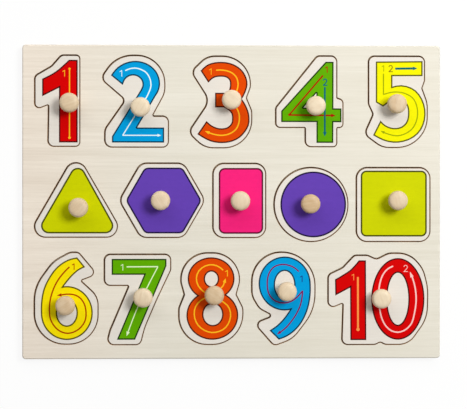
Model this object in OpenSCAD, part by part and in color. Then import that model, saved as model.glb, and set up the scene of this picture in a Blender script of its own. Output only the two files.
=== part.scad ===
// Wooden peg puzzle: a tray of plywood with a backing board, and fifteen
// pieces sawn from the tray's own sheet, each with a turned peg to lift it by.
// Three rows: the numerals 1 to 5, five plain shapes, the numerals 6 to 10.
// The tray lies flat on XY, with its underside at Z 0 and its centre at X 0, Y 0.

/* [Tray] */
// Rim left beside the rows, at the left and the right
side_rim = 8.9; // [5:0.1:30]
// Rim left above the top row
top_rim = 7.9; // [5:0.1:30]
// Rim left below the bottom row
bottom_rim = 10.4; // [5:0.1:30]
// Rounding of the tray's four corners
tray_corner_r = 2.5; // [1:0.5:10]
// Thickness of the glued backing board
backing_t = 3; // [2:0.5:6]
// Thickness of the sawn sheet, and so of the frame board and the pieces
sheet_t = 5; // [3:0.5:10]
// Width of the saw cut all round each piece
kerf = 0.5; // [0.3:0.1:1.2]
// How far the loose pieces lie to the right of their recesses' middles
right_drift = 0.2; // [0:0.05:0.25]
// How far they lie below their recesses' middles, towards the bottom row
down_drift = 0.15; // [0:0.05:0.25]

/* [Rows] */
// Gap between the row of shapes and the rows of numerals
row_gap = 11.8; // [6:0.1:20]
// Gap between the pieces of the longest row
piece_gap = 5.6; // [4:0.1:12]
// Drop of the circle and the square below the other shapes
low_set = 3.2; // [0:0.1:4]

/* [Numeral pieces] */
// Height of a numeral piece
numeral_h = 65.2; // [50:0.1:80]
// Rounding of a numeral piece's outer corners
corner_r = 4; // [2.5:0.1:4.5]
// Rounding of the notches between its strokes
notch_r = 1.2; // [0.6:0.1:1.8]

/* [Shape pieces] */
// Height of the shapes: across the hexagon's flats, the circle and the square
shape_h = 52.7; // [42:0.1:66]
// Width of the rectangle
rectangle_w = 37.4; // [28:0.1:48]
// Side of the triangle, measured to its sharp corners
triangle_side = 69.5; // [58:0.5:72]
// Rounding of the shapes' corners
shape_corner_r = 7.5; // [3:0.5:9]

/* [Pegs] */
// Height of a peg above its piece
peg_h = 14; // [11:0.5:20]
// Diameter of a peg's head
head_d = 13.8; // [11:0.1:17]
// Height of the head's crown, from its widest line to its top
crown_h = 5; // [3:0.5:7]
// Height of the head's underside, from its neck to its widest line
under_h = 3.5; // [2:0.5:4]
// Diameter of the neck between head and foot
neck_d = 8; // [7:0.5:9.5]
// Diameter of the foot that seats on the piece
foot_d = 10; // [9:0.5:12]
// Diameter of the tenon glued into the piece
tenon_d = 6; // [4:0.5:7]
// Glue gap round the tenon
glue_gap = 0.1; // [0.05:0.05:0.3]
// Depth by which the tenon stops short of the piece's underside
tenon_short = 0.4; // [0.2:0.1:1]

/* [Hidden] */
// Largest turn between two points of a sawn arc, in degrees
arc_step = 6;
// How far a cutting tool runs past the faces that it cuts
over = 1;
// Fullness of the crown: 2 is an ellipse, more is flatter on top
crown_fullness = 4;
// Points on each curve of a peg's profile
profile_steps = 12;
$fn = 96;

// The numerals are drawn 66 high, from -top to top, and carried to their own height
top = 33;
draw_scale = numeral_h / (2 * top);
corner = corner_r / draw_scale;
notch = notch_r / draw_scale;
drift = [right_drift, -down_drift];

// Corners of each drawn outline, anticlockwise from its top left.
// A corner is [x, y, rounding].
drawn_1 = [
    [3, top, corner], [-4, 25, 10], [-16, 18, corner], [-16, -6, 3],
    [-6, -2, notch], [-6.5, -top + 0.5, corner], [16, -top + 0.5, 3], [16, top, 2.5]];
drawn_2 = [
    [-13.5, top, 22], [-25, 16.5, 5], [-7, 1, corner], [-22, -20.5, 8],
    [-22, -top, 5], [23.5, -top, corner], [23.5, -11, corner],
    [11.5, -11, notch], [21, 6.5, 16], [20.5, top, 20]];
drawn_3 = [
    [-10, top, 14], [-21.5, 22, 5.5], [-8, 1, 10], [-23.5, -22, 5.5],
    [-12, -top, 16], [22, -top, 20], [22, -6.5, 10], [18, 3, 3], [21, 11, 8],
    [21, top, 20]];
drawn_4 = [
    [5.5, top, corner], [-24.5, -4.5, corner], [-24.5, -18.5, 3], [-3, -18.5, notch],
    [-3, -top + 0.5, corner], [19.5, -top + 0.5, 2.5], [19.5, -18.5, notch], [24, -18.5, 2.5],
    [24, 1, 3], [19.5, 2.5, notch], [19.5, top, corner]];
drawn_5 = [
    [-20.5, top, corner], [-20.5, -1.5, 6], [-17, -9, 3.5], [-23.5, -23.5, 5],
    [-10.5, -top, 15], [22, -top, 22], [22, -1, 20], [18, 10, 2],
    [20, 15.5, 5], [20, top, corner]];
drawn_6 = [
    [2.5, top, 8], [-9.5, 26.5, 25], [-23, 8, 30], [-23, -top, 22], [22.5, -top, 21],
    [22.5, 1, 14], [9.5, 13, notch], [21.5, 17.5, 3.5], [8.5, top, corner]];
drawn_7 = [
    [-24, top - 1, corner], [-24, 10, corner], [-6, 10, notch],
    [-20, -23, 12], [-22.5, -top, corner], [1.5, -top, corner], [4.5, -21, 40],
    [13.5, 0, 100], [23.5, 21, 6], [23.5, top - 1, corner]];
drawn_8 = [
    [-21.5, top, 19], [-21.5, 12, 8], [-19, 3, 1.5], [-23, -7, 8], [-23, -top, 20.5],
    [23, -top, 22], [23, -7, 8], [18, 3, 1.5], [20.5, 12, 8], [20.5, top, 19]];
drawn_9 = [
    [-23, top + 0.5, 21], [-23, 2, 14], [-17.5, -7, 10], [-7, -12.5, 1.8], [-21, -18, 3.5],
    [-7, -top - 1, corner], [6.5, -29, 20], [22.5, -8, 34], [22.5, top + 0.5, 24]];
drawn_10 = [
    [-17, top - 1.5, corner], [-25.5, 22.5, 8], [-36, 17.5, corner], [-36, -7, 3.5],
    [-25, -2.5, notch], [-26, -top, corner], [-2, -top, 6], [2, -top + 2, 3],
    [5.5, -top, 6], [22.5, -top, 14], [36, -14, 26], [36.5, 8, 40], [33, 21.5, 20],
    [23.5, top, 18], [8, top, 10], [-1, top - 4.5, 5], [-7.5, top - 1.5, 6]];

// A piece is its name, its outline's points, its peg's place, its hand-laid shift
// from the even place in its row, and its colour.
UPPER = [
    ["1", numeral(drawn_1), [9.3, -1.7] * draw_scale, [0.4, 0], "crimson"],
    ["2", numeral(drawn_2), [3.7, -4.7] * draw_scale, [0.1, 0], "deepskyblue"],
    ["3", numeral(drawn_3), [7.3, 1.1] * draw_scale, [-0.8, -0.4], "orangered"],
    ["4", numeral(drawn_4), [3.6, -3.5] * draw_scale, [-0.4, 0], "limegreen"],
    ["5", numeral(drawn_5), [-1.4, -2] * draw_scale, [-0.6, 0], "yellow"]];
SHAPES = [
    ["triangle", triangle(), [2.3, -5.3], [0.3, 0], "yellowgreen"],
    ["hexagon", rounded(regular(6, shape_h / sqrt(3), shape_corner_r)),
        [-1, -0.1], [-2.3, -0.2], "rebeccapurple"],
    ["rectangle", rounded(boxed(rectangle_w, shape_h, shape_corner_r)),
        [0.4, -0.2], [-0.5, -0.3], "deeppink"],
    ["circle", regular($fn, shape_h / 2, 0), [-1.2, 0.6], [0.4, -low_set], "rebeccapurple"],
    ["square", rounded(boxed(shape_h, shape_h, shape_corner_r)),
        [1.9, 3], [1.4, -low_set], "yellowgreen"]];
LOWER = [
    ["6", numeral(drawn_6), [-0.1, -4.5] * draw_scale, [0.1, 0.5], "gold"],
    ["7", numeral(drawn_7), [3.9, 1.5] * draw_scale, [-2, 0], "forestgreen"],
    ["8", numeral(drawn_8), [2.3, 3.1] * draw_scale, [-2.8, 0], "orangered"],
    ["9", numeral(drawn_9), [1.6, 5.8] * draw_scale, [-3, 0], "deepskyblue"],
    ["10", numeral(drawn_10), [1.4, 0.8] * draw_scale, [-0.2, -0.3], "crimson"]];

// The longest row sets the tray's width, and the other rows are spread to the same length
row_w = max(widths(UPPER), widths(SHAPES), widths(LOWER)) + (len(SHAPES) - 1) * piece_gap;
tray_w = row_w + 2 * side_rim;
tray_d = bottom_rim + 2 * numeral_h + 2 * row_gap + shape_h + top_rim;
lower_y = bottom_rim + numeral_h / 2 - tray_d / 2;
shape_y = lower_y + numeral_h / 2 + row_gap + shape_h / 2;
upper_y = shape_y + shape_h / 2 + row_gap + numeral_h / 2;
sheet_top_z = backing_t + sheet_t;

PIECES = concat(UPPER, SHAPES, LOWER);
PLACES = concat(places(UPPER, upper_y), places(SHAPES, shape_y), places(LOWER, lower_y));

// Sum of a list, and unit vector along v
function sum(list) = list * [for (i = list) 1];
function unit(v) = v / norm(v);

// Left and right end of a piece's outline, and the widths of a row's pieces together
function left(p) = min([for (q = p[1]) q.x]);
function right(p) = max([for (q = p[1]) q.x]);
function widths(row) = sum([for (p = row) right(p) - left(p)]);

// Places of a row's pieces: the widths and gaps before each, so that the row is full
function places(row, y) =
    let (gap = (row_w - widths(row)) / (len(row) - 1))
    [for (i = [0 : len(row) - 1])
        let (before = i == 0 ? 0 : widths([for (k = [0 : i - 1]) row[k]]))
        [before + i * gap - row_w / 2 - left(row[i]), y] + row[i][3]];

// Corners of a regular polygon, the first one on the X axis
function regular(sides, radius, rounding) =
    [for (i = [0 : sides - 1])
        [radius * cos(360 * i / sides), radius * sin(360 * i / sides), rounding]];

// Corners of an upright rectangle, anticlockwise from its top left
function boxed(width, height, rounding) =
    [for (s = [[-1, 1], [-1, -1], [1, -1], [1, 1]])
        [s.x * width / 2, s.y * height / 2, rounding]];

// Arc that rounds the corner b between its neighbours a and c.
// The arc's centre lies on the bisector, one rounding from both edges.
function corner_arc(a, b, c) =
    let (
        at = [b.x, b.y],
        back = unit([a.x, a.y] - at),
        ahead = unit([c.x, c.y] - at),
        half = acos(back * ahead) / 2,
        centre = at + unit(back + ahead) * b.z / sin(half),
        from = at + back * b.z / tan(half) - centre,
        first = atan2(from.y, from.x),
        sweep = (180 - 2 * half) * sign(cross(ahead, back)),
        steps = ceil(abs(sweep) / arc_step))
    [for (i = [0 : steps])
        centre + b.z * [cos(first + sweep * i / steps), sin(first + sweep * i / steps)]];

// Closed outline through its corners, each with its own rounding
function rounded(corners) =
    let (n = len(corners))
    [for (i = [0 : n - 1])
        each corner_arc(corners[(i + n - 1) % n], corners[i], corners[(i + 1) % n])];

// Outline of a numeral piece, from its drawn corners
function numeral(corners) = rounded(corners * draw_scale);

// Outline of the triangle, set so that its rounded apex is level with the other shapes' tops
function triangle() =
    let (
        radius = triangle_side / sqrt(3),
        drop = radius - shape_corner_r - shape_h / 2)
    [for (q = rounded(regular(3, radius, shape_corner_r))) [-q.y, q.x - drop]];

// Sawn outline of a piece, about the piece's own middle
module outline(p) {
    if (p[0] == "circle")
        circle(d = shape_h);
    else
        polygon(p[1]);
}

// Outline of the whole tray
module tray_outline() {
    polygon(rounded(boxed(tray_w, tray_d, tray_corner_r)));
}

// Plain sheet glued under the frame board, the floor of every recess
module backing_board() {
    color("burlywood") linear_extrude(backing_t) tray_outline();
}

// Sheet that the pieces were sawn from, with a recess one kerf larger than each.
// The pieces have drifted in their recesses, so the recesses lie back from them.
module frame_board() {
    color("wheat") translate([0, 0, backing_t]) linear_extrude(sheet_t)
        difference() {
            tray_outline();
            for (i = [0 : len(PIECES) - 1])
                translate(PLACES[i] - drift) offset(delta = kerf) outline(PIECES[i]);
        }
}

// Sawn piece, drilled through for its peg's tenon
module piece(i) {
    color(PIECES[i][4]) translate([PLACES[i].x, PLACES[i].y, backing_t])
        difference() {
            linear_extrude(sheet_t) outline(PIECES[i]);
            translate([PIECES[i][2].x, PIECES[i][2].y, -over])
                cylinder(d = tenon_d + 2 * glue_gap, h = sheet_t + 2 * over);
        }
}

// Half profile of a peg, from the tenon's end up to the crown.
// The foot tapers to the neck, the underside is a quarter ellipse, and the crown
// is a quarter of a superellipse, flat on top and round at its shoulder.
function peg_profile() =
    let (
        shoulder_z = peg_h - crown_h,
        tenon_end_z = tenon_short - sheet_t,
        flare = (head_d - neck_d) / 2)
    concat(
        [[0, tenon_end_z], [tenon_d / 2, tenon_end_z], [tenon_d / 2, 0], [foot_d / 2, 0]],
        [for (i = [0 : profile_steps])
            let (a = 90 - 90 * i / profile_steps)
            [neck_d / 2 + flare * cos(a), shoulder_z - under_h * sin(a)]],
        [for (i = [1 : profile_steps])
            let (a = 90 * i / profile_steps, power = 2 / crown_fullness)
            [head_d / 2 * pow(cos(a), power), shoulder_z + crown_h * pow(sin(a), power)]]);

// Turned peg, its tenon in the piece and its foot on the piece's face
module peg(i) {
    at = PLACES[i] + PIECES[i][2];
    color("navajowhite") translate([at.x, at.y, sheet_top_z])
        rotate_extrude() polygon(peg_profile());
}

backing_board();
frame_board();
for (i = [0 : len(PIECES) - 1]) {
    piece(i);
    peg(i);
}
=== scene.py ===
import math

import bpy
import numpy as np
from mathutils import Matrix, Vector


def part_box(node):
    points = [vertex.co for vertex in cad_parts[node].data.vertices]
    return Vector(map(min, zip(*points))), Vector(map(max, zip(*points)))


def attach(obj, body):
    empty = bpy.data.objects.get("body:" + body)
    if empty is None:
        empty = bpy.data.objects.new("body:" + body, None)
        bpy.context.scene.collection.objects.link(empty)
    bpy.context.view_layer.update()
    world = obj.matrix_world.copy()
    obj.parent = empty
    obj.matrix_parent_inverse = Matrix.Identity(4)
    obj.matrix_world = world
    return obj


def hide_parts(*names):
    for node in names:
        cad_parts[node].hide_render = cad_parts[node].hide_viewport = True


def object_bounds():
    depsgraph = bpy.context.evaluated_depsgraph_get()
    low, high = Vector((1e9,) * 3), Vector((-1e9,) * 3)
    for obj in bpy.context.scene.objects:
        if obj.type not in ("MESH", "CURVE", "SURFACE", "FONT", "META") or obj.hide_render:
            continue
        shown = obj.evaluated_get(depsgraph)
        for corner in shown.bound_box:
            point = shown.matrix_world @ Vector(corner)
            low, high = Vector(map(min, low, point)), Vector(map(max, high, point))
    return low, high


bl_info = {
    "name": "Wooden Peg Puzzle",
    "version": (1, 0, 0),
    "blender": (4, 5, 0),
    "location": "3D View > Sidebar > Peg Puzzle",
    "description": "Dresses a number and shape puzzle: plywood boards, printed pieces and turned pegs",
    "category": "Object",
}

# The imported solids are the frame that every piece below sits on
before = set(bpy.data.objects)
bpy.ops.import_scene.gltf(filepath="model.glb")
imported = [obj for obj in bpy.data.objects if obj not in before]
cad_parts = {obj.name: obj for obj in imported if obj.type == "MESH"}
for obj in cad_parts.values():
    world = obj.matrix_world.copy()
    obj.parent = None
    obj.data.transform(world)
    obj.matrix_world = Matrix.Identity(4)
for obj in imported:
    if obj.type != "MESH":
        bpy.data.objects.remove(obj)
CAD_BOX = [list(corner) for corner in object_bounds()]

MM = 0.001

# Steps of a printed curve, a closed loop, a rounded corner and a turned peg's round
CURVE_STEPS = 25
LOOP_STEPS = 96
CORNER_STEPS = 9
TURN_STEPS = 80

# Plies of the sawn sheet and of the backing board
SHEET_PLIES = 5
BACKING_PLIES = 3

# Faces that meet below the first angle become one, edges beyond the second are broken,
# and edges beyond the last two stay hard when the boards and pieces or the pegs are shaded
FLAT_ANGLE = math.radians(0.5)
BROKEN_ANGLE = math.radians(50)
HARD_ANGLE = math.radians(30)
PEG_HARD_ANGLE = math.radians(40)

# Edges this near the board's outline and its top are the rim, walls this near the outline are the outer edge
RIM_REACH = 3 * MM
RIM_LEVEL = 0.1 * MM
EDGE_REACH = 5 * MM

# Points closer than this are one, and the floor lies this far below the tray
WELD_REACH = 0.001 * MM
FLOOR_GAP = 0.05 * MM

# Number of strokes, in a figure and in a guide, whose small steps up make the thickness of one film
FIGURE_STACK = 8
GUIDE_STACK = 20

# Width of an arrow head's tip and radius of the hole in the print under a peg, both in millimetres
ARROW_TIP = 0.1
PRINT_HOLE = 4

# Light that the darkest ink gives back, and the distance between two pegs' places in the grain
DARKEST_INK = 0.004
BLANK_SHIFT = 50 * MM

# Place of the camera and the lamps, the camera's turn in degrees,
# and the broad light's short side over its long one
CAMERA_PLACE = (-0.0283, -0.0005, 1.0)
CAMERA_TURN = (-0.078, -1.694, 0.019)
KEY_PLACE = (0.66, 0.37, 1.25)
TOP_PLACE = (-0.1, 0.97, 0.9)
TOP_SHARE = 0.3

NUMERALS = [str(n) for n in range(1, 11)]
SHAPES = ["triangle", "hexagon", "rectangle", "circle", "square"]

# Ink of each piece
INKS = {
    "1": "red", "2": "blue", "3": "orange", "4": "green", "5": "yellow",
    "6": "gold", "7": "green", "8": "orange", "9": "blue", "10": "red",
    "triangle": "lime", "hexagon": "purple", "rectangle": "pink",
    "circle": "purple", "square": "lime",
}

# How light each turned peg is, from 0 for a brown blank to 1 for a pale one,
# and how far its grain is turned, in degrees
PEG_BLANKS = {
    "1": (0.6, 20), "2": (0.95, 65), "3": (0.95, 140), "4": (0.9, 10), "5": (0.5, 95),
    "triangle": (0.6, 40), "hexagon": (0.75, 120), "rectangle": (0.75, 75),
    "circle": (0.28, 5), "square": (0.65, 100),
    "6": (0.45, 30), "7": (0.8, 80), "8": (0.4, 150), "9": (0.8, 55), "10": (0.9, 110),
}


def linear(red, green, blue):
    """A colour given in screen steps of 0 to 255, as linear light: the screen value's offset 2.4 power."""
    steps = np.array((red, green, blue)) / 255
    return tuple(float(v) for v in ((steps + 0.055) / 1.055) ** 2.4)


def hue(name, description, red, green, blue):
    """A colour that the user may change."""
    return bpy.props.FloatVectorProperty(
        name=name, description=description, subtype="COLOR", size=3, min=0, max=1,
        default=linear(red, green, blue))


def length(name, description, millimetres):
    """A length that the user may change, given in millimetres and kept in metres."""
    return bpy.props.FloatProperty(
        name=name, description=description, default=millimetres * MM, min=0, unit="LENGTH", precision=5)


class PuzzleWood(bpy.types.PropertyGroup):
    """Plywood of the boards and pieces."""
    face: hue("Veneer", "Pale veneer of the frame board", 232, 227, 213)
    streak: hue("Streaks", "Darker streaks of the frame board's veneer", 217, 211, 194)
    warm: hue("Warm end", "Veneer at the left end of the frame board", 252, 238, 222)
    warm_streak: hue("Warm streaks", "Darker streaks at the left end of the frame board", 226, 206, 188)
    piece_face: hue("Piece veneer", "Pale primed face of the pieces", 230, 225, 215)
    piece_streak: hue("Piece streaks", "Darker streaks on the pieces", 223, 215, 204)
    backing_face: hue("Backing veneer", "Veneer of the backing board", 232, 214, 180)
    backing_streak: hue("Backing streaks", "Darker streaks of the backing board", 208, 182, 140)
    ply_light: hue("Long-grain ply", "Plies that run along the cut edge", 219, 190, 146)
    ply_dark: hue("End-grain ply", "Plies that run across the cut edge", 172, 132, 88)
    scorch: hue("Scorch", "Burnt wall of the saw cut", 92, 62, 42)
    scorch_light: hue("Light scorch", "Lighter stretches of the burnt wall", 164, 128, 96)
    arris: length("Arris", "Width of the broken edge along each cut", 0.3)
    rim: length("Rim", "Width of the broken edge round the frame board's top", 0.7)


class PuzzlePegs(bpy.types.PropertyGroup):
    """Turned pegs."""
    head: length("Head", "Widest diameter of the head", 13.8)
    neck: length("Neck", "Diameter under the head", 8)
    foot: length("Foot", "Diameter where the peg meets the piece", 10)
    tenon: length("Tenon", "Diameter of the tenon in the piece", 6)
    crown: length("Crown", "Height of the head above its widest line", 5)
    under: length("Underside", "Height of the head below its widest line", 3.5)
    fullness: bpy.props.FloatProperty(
        name="Fullness", description="Power of the crown's curve: 2 is round, more is flatter on top",
        default=4, min=2, max=8)
    pale: hue("Pale blank", "Lightest wood", 231, 213, 183)
    brown: hue("Brown blank", "Darkest wood", 190, 154, 108)


class PuzzlePrint(bpy.types.PropertyGroup):
    """Printed figures, outlines and stroke guides."""
    line: length("Outline", "Width of the dark outline of a numeral", 1.02)
    shape_line: length("Shape outline", "Width of the dark outline of a shape", 1.15)
    film: length("Film", "Thickness of one printed film", 0.02)
    red: hue("Red", "Ink of the numerals 1 and 10", 216, 0, 1)
    blue: hue("Blue", "Ink of the numerals 2 and 9", 0, 160, 223)
    orange: hue("Orange", "Ink of the numerals 3 and 8", 228, 74, 0)
    green: hue("Green", "Ink of the numerals 4 and 7", 96, 173, 0)
    yellow: hue("Yellow", "Ink of the numeral 5", 247, 242, 0)
    gold: hue("Gold", "Ink of the numeral 6", 255, 232, 6)
    lime: hue("Lime", "Ink of the triangle and the square", 207, 213, 0)
    purple: hue("Purple", "Ink of the hexagon and the circle", 102, 67, 178)
    pink: hue("Pink", "Ink of the rectangle", 250, 37, 126)
    outline_share: bpy.props.FloatProperty(
        name="Outline share", description="How much of a figure's own colour its dark outline keeps",
        default=0.11, min=0, max=1, subtype="FACTOR")
    guide_amber: hue("Amber guide", "Stroke guides of 1, 3 and 8", 255, 190, 34)
    guide_ice: hue("Ice guide", "Stroke guide of 2", 240, 255, 255)
    guide_red: hue("Red guide", "First stroke guide of 4", 166, 28, 2)
    guide_teal: hue("Teal guide", "Second stroke guides of 4 and 5", 2, 102, 118)
    guide_olive: hue("Olive guide", "First stroke guide of 5", 160, 172, 4)
    guide_brown: hue("Brown guide", "Small numeral on 5", 146, 124, 10)
    guide_rust: hue("Rust guide", "Stroke guide of 6", 176, 58, 2)
    guide_mint: hue("Mint guide", "Stroke guide of 7", 232, 252, 200)
    guide_plum: hue("Plum guide", "Stroke guide of 9", 132, 20, 84)
    guide_navy: hue("Navy guide", "Small numeral on 9", 24, 68, 142)
    guide_peach: hue("Peach guide", "First stroke guide of 10", 255, 156, 74)
    guide_rose: hue("Rose guide", "Second stroke guide of 10", 255, 206, 200)


class PuzzleStage(bpy.types.PropertyGroup):
    """Floor, light and camera."""
    floor: hue("Floor", "Pale floor", 248, 248, 246)
    whiteness: bpy.props.FloatProperty(
        name="Whiteness", description="How far the camera sees the floor as plain white", default=0.9, min=0,
        max=1, subtype="FACTOR")
    key_power: bpy.props.FloatProperty(
        name="Key light", description="Power of the key light at the upper right", default=15.4, min=0,
        unit="POWER")
    key_side: length("Key size", "Side of the key light", 500)
    top_power: bpy.props.FloatProperty(
        name="Top light", description="Power of the broad light beyond the upper edge", default=8.8, min=0,
        unit="POWER")
    top_side: length("Top size", "Long side of the broad light", 2400)
    room: bpy.props.FloatProperty(
        name="Room light", description="Brightness of the room around", default=0.19, min=0)
    lens: bpy.props.FloatProperty(
        name="Lens", description="Focal length of the camera", default=106.6, min=1, unit="CAMERA")


# Curves of the printed figures, in millimetres from the middle of the sheet


def smooth(points, count):
    """A curve through the points: cubic pieces over the chord length, whose slope at each point is the
    mean of its two chords' slopes, each weighted by the other's length."""
    p = np.asarray(points, float)
    knots = np.concatenate(([0], np.cumsum(np.hypot(*np.diff(p, axis=0).T))))
    t = np.linspace(0, knots[-1], count)
    if len(p) == 2:
        return p[0] + (p[1] - p[0]) * (t / knots[-1])[:, None]
    gap = np.diff(knots)[:, None]
    chord = np.diff(p, axis=0) / gap
    slope = np.empty_like(p)
    slope[1:-1] = (chord[:-1] * gap[1:] + chord[1:] * gap[:-1]) / (gap[1:] + gap[:-1])
    slope[0] = 1.5 * chord[0] - 0.5 * slope[1]
    slope[-1] = 1.5 * chord[-1] - 0.5 * slope[-2]
    k = np.clip(np.searchsorted(knots, t, side="right") - 1, 0, len(gap) - 1)
    s = ((t - knots[k]) / gap[k, 0])[:, None]
    return (p[k] * (1 + 2 * s) * (1 - s) ** 2 + p[k + 1] * s ** 2 * (3 - 2 * s)
            + gap[k] * (slope[k] * s * (1 - s) ** 2 - slope[k + 1] * s ** 2 * (1 - s)))


def arc(centre, radii, start, end):
    """Points of an ellipse: its centre plus its radii times the cosine and sine of an angle that runs
    evenly from start to end, in degrees."""
    angle = np.radians(np.linspace(start, end, CURVE_STEPS))
    return np.asarray(centre, float) + np.stack((np.cos(angle), np.sin(angle)), -1) * radii


def strip(*sections):
    """Two edge curves of a stroke, section by section. A section has the points of both edges, and both
    get the same number of steps."""
    left, right = [], []
    for order, (a, b) in enumerate(sections):
        count = 2 if len(a) == len(b) == 2 else CURVE_STEPS
        left.append(smooth(a, count)[min(order, 1):])
        right.append(smooth(b, count)[min(order, 1):])
    return np.concatenate(left), np.concatenate(right), False


def ring(centre, radii, hole_centre, hole_radii):
    """Two edge curves of a closed ring: an outer ellipse and an inner one at the same angles."""
    angle = np.linspace(0, 2 * np.pi, LOOP_STEPS, endpoint=False)
    turn = np.stack((np.cos(angle), np.sin(angle)), -1)
    return np.asarray(centre) + turn * radii, np.asarray(hole_centre) + turn * hole_radii, True


def rounded(corners, radius):
    """A closed outline with round corners: each corner's arc has its centre on the corner's bisector, and
    turns evenly from one tangent point to the other."""
    p = np.asarray(corners, float)
    back, ahead = np.roll(p, 1, 0) - p, np.roll(p, -1, 0) - p
    back /= np.linalg.norm(back, axis=1, keepdims=True)
    ahead /= np.linalg.norm(ahead, axis=1, keepdims=True)
    half = np.arccos(np.clip((back * ahead).sum(1), -1, 1))[:, None] / 2
    middle = (back + ahead) / np.linalg.norm(back + ahead, axis=1, keepdims=True)
    centre = p + middle * radius / np.sin(half)
    first = p + back * radius / np.tan(half) - centre
    last = p + ahead * radius / np.tan(half) - centre
    sweep = (np.pi - 2 * half)[:, None]
    s = np.linspace(0, 1, CORNER_STEPS)[None, :, None]
    turned = (first[:, None] * np.sin((1 - s) * sweep) + last[:, None] * np.sin(s * sweep)) / np.sin(sweep)
    return (centre[:, None] + turned).reshape(-1, 2)


def polygon(centre, radius, sides, first):
    """Corners of a regular polygon: evenly spaced angles from the first, in degrees, on a circle."""
    angle = np.radians(first) + np.arange(sides) * 2 * np.pi / sides
    return np.asarray(centre) + radius * np.stack((np.cos(angle), np.sin(angle)), -1)


def stroke(*points, width):
    """Two edge curves of a drawn line: a curve through the points, moved half the width to each side along
    its normal."""
    path = smooth(points, 2 if len(points) == 2 else 2 * CURVE_STEPS)
    along = np.gradient(path, axis=0)
    along /= np.linalg.norm(along, axis=1, keepdims=True)
    side = np.stack((-along[:, 1], along[:, 0]), -1) * width / 2
    return path + side, path - side, False


def arrow(tail, tip, width):
    """Two edge curves of an arrow head: from the ends of its base to its tip, which is left narrow."""
    tail, tip = np.asarray(tail, float), np.asarray(tip, float)
    along = (tip - tail) / np.hypot(*(tip - tail))
    side = np.array((-along[1], along[0]))
    base, point = side * width / 2, side * ARROW_TIP / 2
    return np.stack((tail + base, tip + point)), np.stack((tail - base, tip - point)), False


def dot(x, y, radius):
    """Two edge curves of a round dot: its upper and its lower half circle, which end a few degrees apart."""
    centre, radii, gap = (x, y), (radius, radius), 8
    return arc(centre, radii, 180 - gap, gap), arc(centre, radii, gap - 180, -gap), False


def small_one(x, y, width=0.5):
    """A small figure one: a stem and a short flag."""
    return [stroke((x + 0.4, y + 2.2), (x + 0.4, y - 2.3), width=width),
            stroke((x - 1.1, y + 1.1), (x + 0.5, y + 2.1), width=width)]


def small_two(x, y, width):
    """A small figure two: a bow that runs into a slant, and a foot."""
    return [stroke((x - 1.4, y + 1.3), (x - 0.8, y + 2.2), (x + 0.4, y + 2.3), (x + 1.1, y + 1.2),
                   (x + 0.3, y - 0.4), (x - 1.4, y - 2.1), width=width),
            stroke((x - 1.6, y - 2.1), (x + 1.5, y - 2.1), width=width)]


def grown(edges, distance):
    """The same edges with the stroke's outline moved outwards: every corner goes along the sum of its two
    edges' normals over one plus their dot product, which counts as no less than a least share."""
    a, b, closed = edges
    least_share = 0.3

    def moved(loop, far):
        ahead = np.roll(loop, -1, 0) - loop
        ahead /= np.linalg.norm(ahead, axis=1, keepdims=True)
        x, y = loop.T
        turn = np.sign((x * np.roll(y, -1) - np.roll(x, -1) * y).sum())
        normal = np.stack((ahead[:, 1], -ahead[:, 0]), -1) * turn
        before = np.roll(normal, 1, 0)
        share = 1 + (normal * before).sum(1, keepdims=True)
        return loop + far * (normal + before) / np.maximum(share, least_share)

    if closed:
        return moved(a, distance), moved(b, -distance), True
    loop = moved(np.concatenate((a, b[::-1])), distance)
    return loop[:len(a)], loop[len(a):][::-1], False


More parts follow.
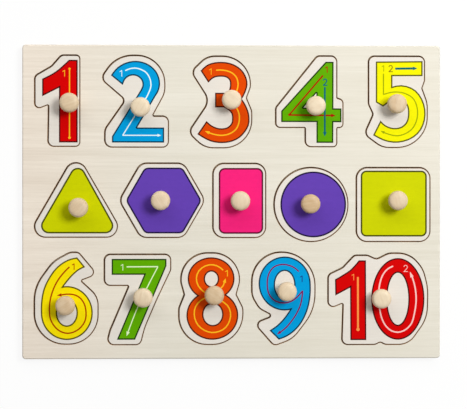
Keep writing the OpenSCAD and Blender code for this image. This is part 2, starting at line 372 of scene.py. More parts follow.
# Figures of the numerals: the strokes and rings that each is made of, by the points of both their edges
FIGURES = {
    "1": [strip(
        ([(-135.3, 87.7), (-125, 93.5), (-119.5, 98.3), (-116.5, 101.1)], [(-135.3, 76.3), (-123.3, 82.4)]),
        ([(-116.5, 101.1), (-111, 101.1)], [(-123.3, 82.4), (-123.3, 81.8)]),
        ([(-111, 101.1), (-111, 43)], [(-123.3, 81.8), (-123.3, 43)]))],
    "2": [strip(
        ([(-86.1, 90.7), (-82.5, 95.3), (-77.6, 98.6), (-69, 100.5), (-60.6, 98.4), (-54.4, 92.8),
          (-52.1, 85), (-53.1, 79.7), (-55.2, 76.1)],
         [(-78.5, 84.5), (-76.9, 88), (-74.3, 90.2), (-70.8, 91), (-67.3, 90.1), (-64.6, 87.5), (-63.7, 84),
          (-65, 80)]),
        ([(-55.2, 76.1), (-68.6, 53.2)], [(-65, 80), (-85.5, 46.8)]),
        ([(-68.6, 53.2), (-68.2, 52.8)], [(-85.5, 46.8), (-85.5, 43)]),
        ([(-68.2, 52.8), (-49.2, 52.8)], [(-85.5, 43), (-49.2, 43)]))],
    "3": [
        strip(([(-22, 94), (-18.5, 97.4), (-8, 100), (2, 97.8), (7, 94), (10.6, 85), (9, 78.5), (6.5, 74)],
               [(-17, 86.3), (-13, 89.5), (-8, 90.3), (-4, 89.7), (-1.5, 87.5), (-1, 84), (-1.9, 80),
                (-5, 77.8)])),
        strip(([(-11.7, 77.8), (4, 77.8)], [(-11.7, 68.3), (4, 68.3)])),
        strip(([(6, 74.5), (9.8, 68.5), (12, 61), (11.5, 55), (9, 50.5), (5, 46.3), (0, 43.8), (-7, 42.7),
                (-14, 43.5), (-24.2, 48.7)],
               [(-6, 68.3), (-2, 66), (0, 63.5), (0.5, 60), (0, 56.5), (-3, 53.3), (-8, 52.3), (-14, 54),
                (-18.3, 57.3)])),
    ],
    "4": [
        (np.array([(35.8, 65.2), (67.5, 100.3), (72.5, 100.3), (72.4, 57.9), (35.8, 57.9)]),
         np.array([(50.7, 67.9), (60.4, 78.7), (61.1, 78.4), (61.1, 67.3), (51.1, 67.3)]), True),
        strip(([(66, 66.9), (78.2, 66.8)], [(66, 57.9), (78.2, 57.8)])),
        strip(([(61.2, 63), (61.2, 43)], [(72.4, 63), (72.3, 43)])),
    ],
    "5": [
        strip(([(104, 100.6), (136.8, 101)], [(104, 91), (136.8, 91.2)])),
        strip(([(104, 95), (108.7, 95)], [(104, 72), (108.7, 69.2)]),
              ([(108.7, 95), (115, 95)], [(108.7, 69.2), (115, 73.8)])),
        strip(([(111, 80.8), (115, 82.4), (120, 83.6), (126, 83), (132, 80), (136, 75), (139, 64), (138, 57),
                (135, 51), (130, 46.5), (124, 44), (118, 43.1), (112, 43.8), (102.2, 48.2)],
               [(112, 72.3), (116, 74), (120, 74.2), (124, 72.6), (126.3, 69.8), (127.3, 64), (125.6, 56.8),
                (122, 53.7), (118, 52.8), (114, 53.2), (110, 55), (107, 57.8)])),
    ],
    "6": [
        ring((-118.2, -79.5), (18, 18.8), (-118.2, -79.3), (7.4, 9.6)),
        strip(([(-136.2, -79.5), (-136.2, -74), (-134, -61.5), (-130, -53.5), (-125, -47), (-120, -43.2),
                (-116, -41.3), (-111, -40.2)],
               [(-126.4, -78), (-125.6, -71), (-123.9, -65.5), (-121.5, -61.2), (-118, -56.5), (-114, -52),
                (-110, -48.6), (-105.9, -46.5)])),
    ],
    "7": [strip(
        ([(-85.7, -41.3), (-47.5, -41.3)], [(-85.7, -51.7), (-62.3, -51.7)]),
        ([(-47.5, -41.3), (-47.5, -45.8)], [(-62.3, -51.7), (-62.5, -52.2)]),
        ([(-47.5, -45.8), (-69.8, -98.2)], [(-62.5, -52.2), (-81.7, -98.2)]))],
    "8": [
        ring((-15, -55), (16.3, 14.8), (-14.8, -55.2), (5.05, 5.7)),
        ring((-14.1, -81.4), (18.1, 17), (-13.8, -80.7), (7.2, 8.1)),
    ],
    "9": [
        ring((37.8, -58.6), (18.2, 18.9), (37.8, -59.5), (7.4, 10.4)),
        strip(([(56, -57), (56.2, -63), (55.5, -71), (53, -80), (49, -87.5), (44, -93), (38.5, -96.6),
                (33.8, -98.4)],
               [(46.8, -60), (45.9, -68), (43, -76), (39.8, -81), (36.5, -85.2), (32.6, -89),
                (27.7, -92.4)])),
    ],
    "10": [
        strip(([(74.6, -56), (80, -52.8), (85, -49.5), (89, -45.5), (91.5, -42.5)],
               [(74.8, -66.5), (85.5, -60.8)]),
              ([(91.5, -42.5), (95.9, -42.5)], [(85.5, -60.8), (85.5, -61.4)]),
              ([(95.9, -42.5), (96.2, -98.9)], [(85.5, -61.4), (85.7, -98.9)])),
        ring((119.5, -69.8), (18.7, 28.9), (119.5, -69.7), (8.1, 19.2)),
    ],
}

# Stroke guides of each numeral: the colour and the lines, arrow heads, dots and small figures drawn in it
GUIDES = {
    "1": {"amber": [stroke((-116.3, 95.8), (-116.3, 46), width=0.85), dot(-116.3, 95.2, 0.8),
                    dot(-116.3, 45.9, 0.95), *small_one(-120.2, 92)]},
    "2": {"ice": [
        stroke((-76.5, 94), (-73, 95.4), (-69, 95.8), (-65.2, 94.8), (-62, 93), (-58.8, 88), (-58.2, 83),
               (-60, 77.6), (-64, 70.8), width=0.85),
        stroke((-64, 70.8), (-78.3, 47.7), width=0.75), stroke((-78.5, 47.7), (-53, 47.7), width=0.75),
        arrow((-53.5, 47.7), (-51, 47.7), 2), *small_one(-79.4, 92, 0.44)]},
    "3": {"amber": [
        stroke((-11.5, 94.5), (-5, 94.3), (0, 92.5), (3, 89.5), (4.2, 85.5), (3.6, 80.5), (1, 76.2),
               width=0.95),
        stroke((1, 70.5), (3.5, 67), (5.2, 62), (5, 57.5), (3, 52.5), (-1, 49.3), (-7, 47.8), (-13, 48.5),
               (-17, 49.8), width=0.95),
        arrow((-16.4, 49.6), (-19.4, 50.8), 2.4), *small_one(-15.4, 93.5, 0.44)]},
    "4": {
        "red": [stroke((65.4, 91), (41, 62.5), width=1.1), stroke((41, 62.5), (71.6, 62.2), width=1.15),
                arrow((71.3, 62.2), (74.4, 62.2), 2.7), dot(41.2, 62.7, 0.9), *small_one(68, 95.2, 0.66)],
        "teal": [stroke((66.7, 82.6), (66.7, 50), width=1.2), arrow((66.7, 50.3), (66.7, 47.2), 2.7),
                 *small_two(67, 86, 0.74)]},
    "5": {
        "olive": [stroke((109, 92.4), (109, 77.3), width=0.85),
                  stroke((109, 77.3), (114, 78.8), (119, 79.2), (125, 78), (130, 75), (133.7, 65), (133, 59),
                         (130, 53), (125, 49.3), (119, 47.7), (113, 48.7), (109.3, 50.1), width=0.85),
                  arrow((109.6, 50), (107, 51.1), 2.2), *small_one(108.8, 96.2)],
        "brown": small_two(114.3, 95.9, 0.66),
        "teal": [stroke((117.5, 96), (130.8, 96.2), width=1.5), arrow((130.4, 96.2), (133.4, 96.25), 2.7)]},
    "6": {"rust": [
        stroke((-116.3, -46.5), (-120, -50.2), (-124.5, -56), (-128, -63), (-130, -70), (-130.6, -77),
               (-129.8, -84), (-127, -89), (-123, -92.5), (-118, -94), (-113, -93), (-108, -89.5),
               (-105, -84.5), (-104.5, -79), (-106, -72.5), (-109, -68.5), (-113.5, -66.3), (-118, -66),
               (-122.6, -66.6), width=1),
        arrow((-122, -66.5), (-125.2, -67), 2.5), *small_one(-113.4, -46.3, 0.6)]},
    "7": {"mint": [
        stroke((-75.5, -46.5), (-53.1, -46.4), width=0.85),
        stroke((-53.1, -46.4), (-61.3, -62.2), (-68.2, -76.9), (-74.8, -94), width=0.75),
        arrow((-74.4, -93), (-75.5, -96), 2.4), *small_one(-78.6, -46.8)]},
    "8": {"amber": [
        stroke((-6.4, -49), (-10, -46.2), (-15, -45), (-20.5, -46.6), (-24.4, -50.4), (-25.6, -55),
               (-24.3, -60), (-20, -64.6), (-14, -67.6), (-7, -71.3), (-2.6, -75.2), (-1, -80.4), (-2, -86),
               (-5, -90.5), (-9.5, -93), (-14.5, -93.7), (-20, -92), (-25, -87.5), (-27, -82),
               (-26.5, -76), (-23.5, -71.5), (-19.6, -69), (-13.4, -65.9), (-8.6, -62.6),
               (-6.2, -59.8), (-5.3, -57.2), width=0.95),
        arrow((-5.5, -57.8), (-4.6, -54.8), 2.6), *small_one(-3.7, -51.2, 0.6)]},
    "9": {
        "plum": [
            stroke((48, -50), (45, -47.4), (40, -45.3), (35, -45), (30, -46.8), (27, -50.5), (25.3, -59),
                   (27, -67), (30.5, -70.7), (36, -72.5), (41, -72), (45.5, -69.5), (50.7, -63.8),
                   width=0.95),
            stroke((50.7, -63.8), (50.2, -69.4), (49, -74.5), (46.5, -80), (42.5, -86), (38, -91),
                   (34.4, -93.7), width=0.95),
            arrow((34.8, -93.4), (32.4, -95.1), 2.3)],
        "navy": small_one(50, -55.2, 0.66)},
    "10": {
        "peach": [stroke((90.6, -54), (90.7, -91.5), width=1.3), dot(90.7, -91.7, 1.2),
                  *small_one(87.2, -54, 0.44)],
        "rose": [
            stroke((116, -46.2), (112, -48.3), (108.5, -52.7), (106.4, -59), (105.6, -66), (105.7, -72),
                   (106.5, -78), (108, -84), (111, -89.5), (115, -92.8), (119.5, -93.8), (125, -92),
                   (129, -88), (131.5, -80), (132.7, -70), (131.6, -60), (129.6, -53.4), width=1),
            arrow((129.7, -54), (128.2, -50.3), 2.5), *small_two(125.2, -48, 0.44)]},
}

# Outlines of the shapes
SHAPE_OUTLINES = {
    "triangle": rounded([(-139.7, -22), (-82.1, -22), (-110.3, 29)], 5),
    "hexagon": rounded(polygon((-49, 1), 26.6, 6, 0), 4.2),
    "rectangle": rounded([(-9, -22.3), (21.8, -22.3), (21.8, 23.8), (-9, 23.8)], 3.8),
    "circle": polygon((58.4, -1.8), 23.1, LOOP_STEPS, 0),
    "square": rounded([(93.2, -24.3), (139.8, -24.3), (139.8, 22), (93.2, 22)], 3.4),
}


# Meshes


def films(edge_sets, low, high, step):
    """Closed films: a four-cornered profile carried along each pair of edges. At every step it goes up
    edge a, across to edge b and down again, from the low to the high level. Each later film stands one
    small step higher, so that no two tops lie in one plane."""
    points, faces, used = [], [], 0
    for order, (a, b, closed) in enumerate(edge_sets):
        count = len(a)
        top = high + order * step
        level = np.broadcast_to(np.array((low, top, top, low))[None, :, None], (count, 4, 1))
        profile = np.concatenate((np.stack((a, a, b, b), 1) * MM, level), 2).reshape(-1, 3)
        i = np.arange(count if closed else count - 1)[:, None]
        j = np.arange(4)[None, :]
        here, there, after = i * 4, (i + 1) % count * 4, (j + 1) % 4
        quads = np.stack((here + j, there + j, there + after, here + after), -1).reshape(-1, 4)
        if not closed:
            first, last = [0, 1, 2, 3], [4 * count - 1, 4 * count - 2, 4 * count - 3, 4 * count - 4]
            quads = np.concatenate((quads, [first, last]))
        p, q, r, s = (profile[corner] for corner in quads.T)
        volume = (np.cross(p, q) * r).sum() + (np.cross(p, r) * s).sum()
        quads = quads if volume > 0 else quads[:, ::-1]
        points.append(profile)
        faces.append(quads + used)
        used += len(profile)
    return np.concatenate(points), np.concatenate(faces)


def turned(profile, centre):
    """A turned solid: every radius and height of the profile is carried round an upright axis. The first
    and last profile points lie on the axis and become its two poles."""
    radius, height = profile[1:-1].T
    steps = TURN_STEPS
    angle = np.linspace(0, 2 * np.pi, steps, endpoint=False)
    x = centre[0] + radius[:, None] * np.cos(angle)
    y = centre[1] + radius[:, None] * np.sin(angle)
    z = np.broadcast_to(height[:, None], x.shape)
    poles = np.array([(*centre, profile[0, 1]), (*centre, profile[-1, 1])])
    points = np.concatenate((np.stack((x, y, z), -1).reshape(-1, 3), poles))
    rows = len(radius)
    i, j = np.arange(rows - 1)[:, None] * steps, np.arange(steps)[None, :]
    ahead = (j + 1) % steps
    quads = np.stack((i + j, i + ahead, i + steps + ahead, i + steps + j), -1).reshape(-1, 4)
    j, ahead = j[0], ahead[0]
    last = (rows - 1) * steps
    bottom = np.stack((np.full(steps, rows * steps), ahead, j), -1)
    top = np.stack((np.full(steps, rows * steps + 1), last + j, last + ahead), -1)
    return points, quads.tolist() + bottom.tolist() + top.tolist()


def add_piece(name, points, faces, body, material):
    """Puts a closed mesh into the scene, on the body that carries it."""
    mesh = bpy.data.meshes.new(name)
    mesh.from_pydata(points.tolist(), [], faces if isinstance(faces, list) else faces.tolist())
    mesh.materials.append(material)
    piece = bpy.data.objects.new(name, mesh)
    bpy.context.scene.collection.objects.link(piece)
    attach(piece, body)
    return piece


# Materials


def new_material(name):
    """A material with its node tree and its one shader."""
    material = bpy.data.materials.new(name)
    material.use_nodes = True
    return material, material.node_tree, material.node_tree.nodes["Principled BSDF"]


def add_node(tree, kind, sockets=(), **settings):
    """Adds one shader node. A socket gets either a link or a value."""
    node = tree.nodes.new("ShaderNode" + kind)
    for key, value in settings.items():
        setattr(node, key, value)
    for socket, value in dict(sockets).items():
        if isinstance(value, bpy.types.NodeSocket):
            tree.links.new(value, node.inputs[socket])
        else:
            node.inputs[socket].default_value = value
    return node.outputs


def streaks(tree, place, scale, detail, rough=0.6):
    """Noise drawn out along the axis with the smallest scale."""
    where = add_node(tree, "Mapping", {"Vector": place, "Scale": scale})[0]
    return add_node(tree, "TexNoise", {"Vector": where, "Scale": 1.0, "Detail": detail,
                                       "Roughness": rough})["Fac"]


def span(tree, value, low, high, start=0.0, end=1.0):
    """Maps a value from one span to another, clamped."""
    limits = {"From Min": low, "From Max": high, "To Min": start, "To Max": end}
    return add_node(tree, "MapRange", {"Value": value, **limits})[0]


def maths(tree, operation, a, b=0.0):
    """One operation on two values, or on the first alone."""
    return add_node(tree, "Math", {0: a, 1: b}, operation=operation)[0]


def total(tree, *parts):
    """Sum of values, each times its own share."""
    shares = [maths(tree, "MULTIPLY", value, share) for value, share in parts]
    result = shares[0]
    for share in shares[1:]:
        result = maths(tree, "ADD", result, share)
    return result


def beyond(tree, x, y, half_size, reach):
    """How far a place lies beyond a line that runs the given reach inside the outline of a board."""
    return maths(tree, "MAXIMUM", *(
        maths(tree, "SUBTRACT", maths(tree, "ABSOLUTE", axis), half - reach)
        for axis, half in zip((x, y), half_size)))


def mixed(tree, factor, a, b):
    """Mixes two colours."""
    def colour(value):
        return value if isinstance(value, bpy.types.NodeSocket) else (*value, 1)
    return add_node(tree, "Mix", {0: factor, 6: colour(a), 7: colour(b)}, data_type="RGBA")[2]


def grain_tone(tree, place):
    """Tone of sliced veneer along X: broad bands, fine streaks, fibres and a slow drift, added up to about
    0 to 1. The fibres also come alone."""
    bands = streaks(tree, place, (6, 190, 60), 3.0)
    fine = streaks(tree, place, (14, 620, 120), 5.0, 0.65)
    fibre = streaks(tree, place, (90, 2600, 500), 2.0)
    drift = streaks(tree, place, (5, 14, 10), 2.0)
    return total(tree, (bands, 0.32), (fine, 0.30), (fibre, 0.18), (drift, 0.20)), fibre


def plywood(name, wood, face, streak, plies, half_size=None):
    """Plywood: veneer on its faces, plies on its outer edge and burnt walls along the saw cuts. plies
    gives the lowest level and the thickness of one ply; half_size is half the board's size where it has an
    outer edge, and then its veneer is warmer towards the left end."""
    material, tree, surface = new_material(name)
    place = add_node(tree, "TexCoord")["Object"]
    tone, fibre = grain_tone(tree, place)
    x, y, z = add_node(tree, "SeparateXYZ", {0: place})[:]
    level = maths(tree, "DIVIDE", maths(tree, "SUBTRACT", z, plies[0]), plies[1])
    wave = maths(tree, "SINE", maths(tree, "MULTIPLY", level, math.pi))
    crumbs = streaks(tree, place, (900, 900, 2600), 2.0)
    end_grain = maths(tree, "ADD", wave, maths(tree, "MULTIPLY", maths(tree, "SUBTRACT", crumbs, 0.5), 1.4))
    edge = mixed(tree, span(tree, end_grain, -0.35, 0.35), wood.ply_light, wood.ply_dark)
    char = streaks(tree, place, (55, 55, 160), 3.0)
    burnt = mixed(tree, span(tree, char, 0.36, 0.66), wood.scorch, wood.scorch_light)
    burnt = mixed(tree, span(tree, end_grain, -0.5, 0.5, 0.0, 0.35), burnt, edge)
    if half_size is None:
        side, upright = burnt, 0.0
    else:
        along = maths(tree, "ADD", x, maths(tree, "MULTIPLY", maths(tree, "SUBTRACT", tone, 0.5), 0.05))
        share = span(tree, along, -half_size[0], -half_size[0] / 3, 0.6, 0.0)
        face, streak = mixed(tree, share, face, wood.warm), mixed(tree, share, streak, wood.warm_streak)
        outer = span(tree, beyond(tree, x, y, half_size, EDGE_REACH), -0.5 * MM, 0.5 * MM)
        side, upright = mixed(tree, outer, burnt, edge), maths(tree, "MULTIPLY", outer, 0.3)
    normal_z = add_node(tree, "SeparateXYZ", {0: add_node(tree, "NewGeometry")["Normal"]})[2]
    flat = span(tree, maths(tree, "ADD", maths(tree, "ABSOLUTE", normal_z), upright), 0.72, 0.97)
    veneer = mixed(tree, span(tree, tone, 0.38, 0.66), face, streak)
    tree.links.new(mixed(tree, flat, side, veneer), surface.inputs["Base Color"])
    tree.links.new(span(tree, tone, 0.3, 0.7, 0.52, 0.66), surface.inputs["Roughness"])
    height = maths(tree, "ADD", tone, maths(tree, "MULTIPLY", fibre, 0.6))
    bump = add_node(tree, "Bump", {"Strength": 0.25, "Distance": 0.06 * MM, "Height": height})
    tree.links.new(bump[0], surface.inputs["Normal"])
    surface.inputs["Specular IOR Level"].default_value = 0.25
    return material


def ink(name, colour):
    """Printed ink: the colour thins a little along the veneer's streaks, and the grain stands through it."""
    material, tree, surface = new_material(name)
    place = add_node(tree, "TexCoord")["Object"]
    tone, fibre = grain_tone(tree, place)
    blotch = streaks(tree, place, (240, 420, 240), 3.0)
    cover = total(tree, (tone, 0.7), (blotch, 0.3))
    deep = tuple(channel * 0.9 for channel in colour)
    tree.links.new(mixed(tree, span(tree, cover, 0.36, 0.64), colour, deep), surface.inputs["Base Color"])
    tree.links.new(span(tree, fibre, 0.3, 0.7, 0.42, 0.56), surface.inputs["Roughness"])
    bump = add_node(tree, "Bump", {"Strength": 0.2, "Distance": 0.04 * MM, "Height": tone})
    tree.links.new(bump[0], surface.inputs["Normal"])
    surface.inputs["Specular IOR Level"].default_value = 0.02
    return material


def peg_wood(name, pegs):
    """Turned wood: streaks that follow each blank's own grain, ring lines, and faint lathe marks round the
    axis."""
    material, tree, surface = new_material(name)
    place = add_node(tree, "Attribute", attribute_name="grain_place")["Vector"]
    tone = add_node(tree, "Attribute", attribute_name="blank_tone")["Fac"]
    rings = streaks(tree, place, (70, 420, 300), 3.0)
    fine = streaks(tree, place, (220, 1900, 1500), 4.0)
    cloud = streaks(tree, place, (120, 150, 150), 2.0)
    vary = total(tree, (rings, 0.45), (fine, 0.25), (cloud, 0.3))
    pale = maths(tree, "ADD", tone, span(tree, vary, 0.3, 0.7, 0.28, -0.28))
    tree.links.new(mixed(tree, span(tree, pale, 0.0, 1.0), pegs.brown, pegs.pale),
                   surface.inputs["Base Color"])
    tree.links.new(span(tree, fine, 0.3, 0.7, 0.4, 0.56), surface.inputs["Roughness"])
    height = add_node(tree, "SeparateXYZ", {0: add_node(tree, "TexCoord")["Object"]})[2]
    lathe = maths(tree, "SINE", maths(tree, "MULTIPLY", height, 2 * math.pi / (0.7 * MM)))
    relief = maths(tree, "ADD", maths(tree, "MULTIPLY", lathe, 0.25), fine)
    bump = add_node(tree, "Bump", {"Strength": 0.12, "Distance": 0.03 * MM, "Height": relief})
    tree.links.new(bump[0], surface.inputs["Normal"])
    surface.inputs["Specular IOR Level"].default_value = 0.3
    return material


def modifier_nodes(name):
    """An empty node group for a modifier, with the nodes where its mesh comes in and goes out."""
    group = bpy.data.node_groups.new(name, "GeometryNodeTree")
    group.interface.new_socket("Geometry", in_out="INPUT", socket_type="NodeSocketGeometry")
    group.interface.new_socket("Geometry", in_out="OUTPUT", socket_type="NodeSocketGeometry")
    return group, group.nodes.new("NodeGroupInput"), group.nodes.new("NodeGroupOutput")


def edge_weights(half_size, top, share):
    """Modifier nodes that mark the sharp edges for a bevel: the rim of the top face with 1, the others
    with the given share of its width."""
    group, start, end = modifier_nodes("edge_weights")
    place = group.nodes.new("GeometryNodeInputPosition").outputs[0]
    x, y, z = add_node(group, "SeparateXYZ", {0: place})[:]
    near = maths(group, "GREATER_THAN", beyond(group, x, y, half_size, RIM_REACH), 0.0)
    rim = maths(group, "MULTIPLY", near, maths(group, "GREATER_THAN", z, top - RIM_LEVEL))
    angle = group.nodes.new("GeometryNodeInputMeshEdgeAngle").outputs[0]
    sharp = maths(group, "GREATER_THAN", angle, BROKEN_ANGLE)
    mark = group.nodes.new("GeometryNodeStoreNamedAttribute")
    mark.data_type, mark.domain = "FLOAT", "EDGE"
    mark.inputs["Name"].default_value = "bevel_weight_edge"
    weight = maths(group, "MULTIPLY", sharp, maths(group, "MAXIMUM", rim, share))
    for source, target in (
            (start.outputs[0], mark.inputs["Geometry"]), (weight, mark.inputs["Value"]),
            (mark.outputs[0], end.inputs[0])):
        group.links.new(source, target)
    return group


def edge_shading():
    """Modifier nodes that shade a mesh smooth, except along its hard edges."""
    group, start, end = modifier_nodes("edge_shading")
    faces = group.nodes.new("GeometryNodeSetShadeSmooth")
    edges = group.nodes.new("GeometryNodeSetShadeSmooth")
    edges.domain = "EDGE"
    edges.inputs["Shade Smooth"].default_value = False
    angle = group.nodes.new("GeometryNodeInputMeshEdgeAngle")
    sharp = group.nodes.new("FunctionNodeCompare")
    sharp.operation = "GREATER_THAN"
    sharp.inputs[1].default_value = HARD_ANGLE
    for source, target in (
            (start.outputs[0], faces.inputs["Geometry"]), (faces.outputs[0], edges.inputs["Geometry"]),
            (angle.outputs[0], sharp.inputs[0]), (sharp.outputs[0], edges.inputs["Selection"]),
            (edges.outputs[0], end.inputs[0])):
        group.links.new(source, target)
    return group


def dress(node, material, arris, rim=None):
    """Gives a CAD node its material, breaks its sharp edges, wider round its top's rim where a rim is
    given, and smooths its curved walls."""
    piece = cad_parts[node]
    piece.material_slots[0].material = material
    piece.modifiers.new("weld", "WELD").merge_threshold = WELD_REACH
    whole = piece.modifiers.new("whole_faces", "DECIMATE")
    whole.decimate_type = "DISSOLVE"
    whole.angle_limit = FLAT_ANGLE
    if rim:
        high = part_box(node)[1]
        weights = piece.modifiers.new("edge_weights", "NODES")
        weights.node_group = edge_weights((high.x, high.y), high.z, arris / rim)
    broken = piece.modifiers.new("arris", "BEVEL")
    broken.width = rim or arris
    broken.segments = 1
    broken.limit_method = "WEIGHT" if rim else "ANGLE"
    broken.angle_limit = BROKEN_ANGLE
    broken.use_clamp_overlap = False
    broken.loop_slide = False
    shading = piece.modifiers.new("edge_shading", "NODES")
    shading.node_group = bpy.data.node_groups.get("edge_shading") or edge_shading()


def face_of(name):
    """Height of a piece's printed face."""
    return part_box("piece_" + name)[1].z


class PUZZLE_OT_boards(bpy.types.Operator):
    """Dress the frame board and the backing board as plywood"""
    bl_idname = "puzzle.boards"
    bl_label = "Boards"

    def execute(self, context):
        wood = context.scene.puzzle_wood
        low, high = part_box("frame_board")
        half = (high.x, high.y)
        plies = (low.z, (high.z - low.z) / SHEET_PLIES)
        sheet = plywood("frame plywood", wood, wood.face, wood.streak, plies, half)
        dress("frame_board", sheet, wood.arris, wood.rim)
        low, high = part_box("backing_board")
        plies = (low.z, (high.z - low.z) / BACKING_PLIES)
        sheet = plywood("backing plywood", wood, wood.backing_face, wood.backing_streak, plies, half)
        dress("backing_board", sheet, wood.arris)
        return {"FINISHED"}


class PUZZLE_OT_pieces(bpy.types.Operator):
    """Dress the numeral and shape pieces as sawn plywood"""
    bl_idname = "puzzle.pieces"
    bl_label = "Pieces"

    def execute(self, context):
        wood = context.scene.puzzle_wood
        low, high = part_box("piece_1")
        plies = (low.z, (high.z - low.z) / SHEET_PLIES)
        sheet = plywood("piece plywood", wood, wood.piece_face, wood.piece_streak, plies)
        for name in NUMERALS + SHAPES:
            dress("piece_" + name, sheet, wood.arris)
        return {"FINISHED"}


class PUZZLE_OT_pegs(bpy.types.Operator):
    """Turn the fifteen pegs"""
    bl_idname = "puzzle.pegs"
    bl_label = "Pegs"

    def execute(self, context):
        pegs = context.scene.puzzle_pegs
        material = peg_wood("turned peg wood", pegs)
        for name in NUMERALS + SHAPES:
            low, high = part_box("peg_" + name)
            centre = ((low.x + high.x) / 2, (low.y + high.y) / 2)
            points, faces = turned(self.profile(pegs, low.z, high.z, face_of(name)), centre)
            peg = add_piece("turned_peg_" + name, points, faces, "lift_" + name, material)
            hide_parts("peg_" + name)
            peg.data.polygons.foreach_set("use_smooth", np.ones(len(peg.data.polygons), bool))
            peg.data.set_sharp_from_angle(angle=PEG_HARD_ANGLE)
            self.mark_grain(peg.data, points, centre, name)
        return {"FINISHED"}

    @staticmethod
    def profile(pegs, end, top, face):
        """Half section of a peg from the tenon's end to the crown: a tenon with a small chamfer, a foot
        with a broken edge, a shaft that thins in a cosine sweep, a quarter-ellipse underside and a
        superelliptic crown, whose steps are closer towards both of its ends."""
        head, neck, foot, tenon = pegs.head / 2, pegs.neck / 2, pegs.foot / 2, pegs.tenon / 2
        widest, chamfer, broken = top - pegs.crown, 0.4 * MM, 0.25 * MM
        shaft_steps, under_steps, crown_steps = 12, 20, 36
        tenon_part = [(0, end), (tenon - chamfer, end), (tenon, end + chamfer), (tenon, face),
                      (foot - broken, face), (foot, face + broken)]
        s = np.linspace(0, 1, shaft_steps)[1:]
        sweep = neck + (foot - neck) * (0.5 + 0.5 * np.cos(np.pi * s))
        rise = face + broken + (widest - pegs.under - face - broken) * s
        shaft = np.stack((sweep, rise), -1)
        a = np.linspace(np.pi / 2, 0, under_steps)[1:]
        underside = np.stack((neck + (head - neck) * np.cos(a), widest - pegs.under * np.sin(a)), -1)
        power = pegs.fullness / 2
        s = np.linspace(0, 1, crown_steps)[1:-1]
        a = np.pi / 2 * s ** power / (s ** power + (1 - s) ** power)
        out, up = np.cos(a) ** (1 / power), np.sin(a) ** (1 / power)
        crown = np.stack((head * out, widest + pegs.crown * up), -1)
        return np.concatenate((tenon_part, shaft, underside, crown, [(0, top)]))

    @staticmethod
    def mark_grain(mesh, points, centre, name):
        """Stores each point's place in its own blank, turned with the grain and shifted from blank to
        blank, and the blank's tone."""
        tone, degrees = PEG_BLANKS[name]
        angle = math.radians(degrees)
        cosine, sine = math.cos(angle), math.sin(angle)
        x, y = points[:, 0] - centre[0], points[:, 1] - centre[1]
        shift = list(PEG_BLANKS).index(name) * BLANK_SHIFT
        place = np.stack((x * cosine + y * sine + shift, y * cosine - x * sine, points[:, 2]), -1)
        places = mesh.attributes.new("grain_place", "FLOAT_VECTOR", "POINT")
        places.data.foreach_set("vector", place.ravel().astype(np.float32))
        tones = mesh.attributes.new("blank_tone", "FLOAT", "POINT")
        tones.data.foreach_set("value", np.full(len(points), tone, np.float32))


def ink_named(name, colour):
    """The ink material of that name, made the first time that it is asked for."""
    return bpy.data.materials.get(name) or ink(name, colour)


def print_figure(name, edge_sets, prints, line):
    """Prints one figure in two films: the dark outline, half its width beyond the edges, and over it the
    ink, half a width inside them."""
    face = face_of(name)
    body, slot = "lift_" + name, "print_" + INKS[name]
    colour = getattr(prints, INKS[name])
    dark = [channel * prints.outline_share + DARKEST_INK for channel in colour]
    low, step, half = face - prints.film, prints.film / FIGURE_STACK, line / MM / 2
    points, faces = films([grown(edges, half) for edges in edge_sets], low, face + prints.film, step)
    add_piece("print_line_" + name, points, faces, body, ink_named(INKS[name] + " outline ink", dark))
    points, faces = films([grown(edges, -half) for edges in edge_sets], low, face + 2 * prints.film, step)
    add_piece("print_ink_" + name, points, faces, body, ink_named(INKS[name] + " ink", colour))


class PUZZLE_OT_numeral_prints(bpy.types.Operator):
    """Print the ten numerals on their pieces"""
    bl_idname = "puzzle.numeral_prints"
    bl_label = "Numeral prints"

    def execute(self, context):
        prints = context.scene.puzzle_print
        for name in NUMERALS:
            print_figure(name, FIGURES[name], prints, prints.line)
        return {"FINISHED"}


class PUZZLE_OT_shape_prints(bpy.types.Operator):
    """Print the five shapes on their pieces, each a sheet of ink with a hole under its peg"""
    bl_idname = "puzzle.shape_prints"
    bl_label = "Shape prints"

    def execute(self, context):
        prints = context.scene.puzzle_print
        for name in SHAPES:
            low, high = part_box("peg_" + name)
            centre = np.array(((low.x + high.x) / 2, (low.y + high.y) / 2)) / MM
            outline = SHAPE_OUTLINES[name]
            ray = outline - centre
            hole = centre + ray / np.linalg.norm(ray, axis=1, keepdims=True) * PRINT_HOLE
            print_figure(name, [(outline, hole, True)], prints, prints.shape_line)
        return {"FINISHED"}


class PUZZLE_OT_stroke_guides(bpy.types.Operator):
    """Draw the stroke guides on the numerals"""
    bl_idname = "puzzle.stroke_guides"
    bl_label = "Stroke guides"

    def execute(self, context):
        prints = context.scene.puzzle_print
        for name, guides in GUIDES.items():
            face = face_of(name)
            for order, (colour, edge_sets) in enumerate(guides.items()):
                title = "guide_" + colour
                material = ink_named(title, getattr(prints, title))
                low, high = face - prints.film, face + (3 + order / 2) * prints.film
                points, faces = films(edge_sets, low, high, prints.film / GUIDE_STACK)
                add_piece(f"{title}_{name}", points, faces, "lift_" + name, material)
        return {"FINISHED"}


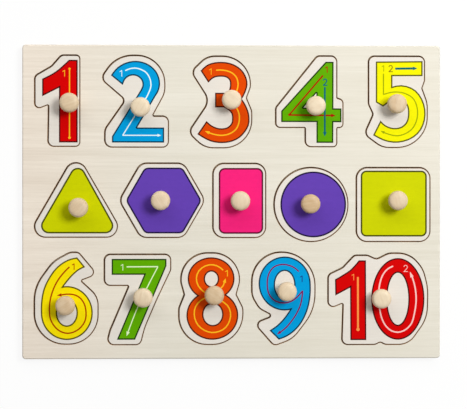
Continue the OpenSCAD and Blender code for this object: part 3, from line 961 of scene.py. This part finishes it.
class PUZZLE_OT_stage(bpy.types.Operator):
    """Set up the floor, the soft light and the camera"""
    bl_idname = "puzzle.stage"
    bl_label = "Stage"

    def execute(self, context):
        stage = context.scene.puzzle_stage
        self.floor(stage)
        self.light(context.scene, stage)
        data = bpy.data.cameras.new("camera")
        data.lens = stage.lens
        data.sensor_width = 36
        data.clip_start = 0.01
        camera = bpy.data.objects.new("camera", data)
        camera.location = CAMERA_PLACE
        camera.rotation_euler = [math.radians(angle) for angle in CAMERA_TURN]
        context.scene.collection.objects.link(camera)
        context.scene.camera = camera
        context.scene.view_settings.view_transform = "Standard"
        return {"FINISHED"}

    @staticmethod
    def floor(stage):
        """A flat square grid under the tray, on which the camera sees mostly plain white, so that the
        shadow stays soft."""
        reach, count = 3.0, 9
        across = np.linspace(-reach, reach, count)
        x, y = np.meshgrid(across, across)
        points = np.stack((x, y, np.full_like(x, CAD_BOX[0][2] - FLOOR_GAP)), -1).reshape(-1, 3)
        i, j = np.arange(count - 1)[:, None] * count, np.arange(count - 1)[None, :]
        quads = np.stack((i + j, i + j + 1, i + j + count + 1, i + j + count), -1).reshape(-1, 4)
        mesh = bpy.data.meshes.new("floor")
        mesh.from_pydata(points.tolist(), [], quads.tolist())
        floor = bpy.data.objects.new("floor", mesh)
        bpy.context.scene.collection.objects.link(floor)
        material, tree, surface = new_material("pale floor")
        surface.inputs["Base Color"].default_value = (*stage.floor, 1)
        surface.inputs["Roughness"].default_value = 0.9
        surface.inputs["Specular IOR Level"].default_value = 0.1
        white = add_node(tree, "Emission", {"Color": (1, 1, 1, 1), "Strength": 1.0})[0]
        seen = maths(tree, "MULTIPLY", background_rays(tree), stage.whiteness)
        mix = add_node(tree, "MixShader", {0: seen, 1: surface.outputs[0], 2: white})[0]
        tree.links.new(mix, tree.nodes["Material Output"].inputs["Surface"])
        mesh.materials.append(material)

    @staticmethod
    def light(scene, stage):
        """A key from the upper right, a broad light beyond the upper edge, and an even room, which the
        camera sees as white."""
        for name, power, side, place in (
                ("key", stage.key_power, (stage.key_side, stage.key_side), KEY_PLACE),
                ("top", stage.top_power, (stage.top_side, stage.top_side * TOP_SHARE), TOP_PLACE)):
            data = bpy.data.lights.new(name, "AREA")
            data.energy = power
            data.shape = "RECTANGLE"
            data.size, data.size_y = side
            lamp = bpy.data.objects.new(name, data)
            lamp.location = place
            lamp.rotation_euler = (-lamp.location).to_track_quat("-Z", "Y").to_euler()
            scene.collection.objects.link(lamp)
        world = bpy.data.worlds.new("room")
        world.use_nodes = True
        tree = world.node_tree
        room = tree.nodes["Background"]
        room.inputs["Color"].default_value = (1, 1, 1, 1)
        room.inputs["Strength"].default_value = stage.room
        white = add_node(tree, "Background", {"Color": (1, 1, 1, 1), "Strength": 1.0})[0]
        mix = add_node(tree, "MixShader", {0: background_rays(tree), 1: room.outputs[0], 2: white})[0]
        tree.links.new(mix, tree.nodes["World Output"].inputs["Surface"])
        scene.world = world


def background_rays(tree):
    """One where a camera, mirror or glass ray looks at the background, else nought."""
    path = add_node(tree, "LightPath")
    first = maths(tree, "MAXIMUM", path["Is Camera Ray"], path["Is Glossy Ray"])
    return maths(tree, "MAXIMUM", first, path["Is Transmission Ray"])


class PUZZLE_PT_panel(bpy.types.Panel):
    """Every step of the puzzle, in order"""
    bl_idname = "PUZZLE_PT_panel"
    bl_label = "Peg Puzzle"
    bl_space_type = "VIEW_3D"
    bl_region_type = "UI"
    bl_category = "Peg Puzzle"

    def draw(self, context):
        for operator in OPERATORS:
            self.layout.operator(operator.bl_idname)


GROUPS = {
    "puzzle_wood": PuzzleWood, "puzzle_pegs": PuzzlePegs, "puzzle_print": PuzzlePrint,
    "puzzle_stage": PuzzleStage}
OPERATORS = (
    PUZZLE_OT_boards, PUZZLE_OT_pieces, PUZZLE_OT_pegs, PUZZLE_OT_numeral_prints,
    PUZZLE_OT_shape_prints, PUZZLE_OT_stroke_guides, PUZZLE_OT_stage)
CLASSES = (*GROUPS.values(), *OPERATORS, PUZZLE_PT_panel)


def register():
    for cls in CLASSES:
        bpy.utils.register_class(cls)
    for name, group in GROUPS.items():
        setattr(bpy.types.Scene, name, bpy.props.PointerProperty(type=group))


def unregister():
    for name in GROUPS:
        delattr(bpy.types.Scene, name)
    for cls in reversed(CLASSES):
        bpy.utils.unregister_class(cls)


def main():
    """Makes every piece in order."""
    register()
    bpy.ops.puzzle.boards()
    bpy.ops.puzzle.pieces()
    bpy.ops.puzzle.pegs()
    bpy.ops.puzzle.numeral_prints()
    bpy.ops.puzzle.shape_prints()
    bpy.ops.puzzle.stroke_guides()
    bpy.ops.puzzle.stage()


if __name__ == "__main__":
    main()
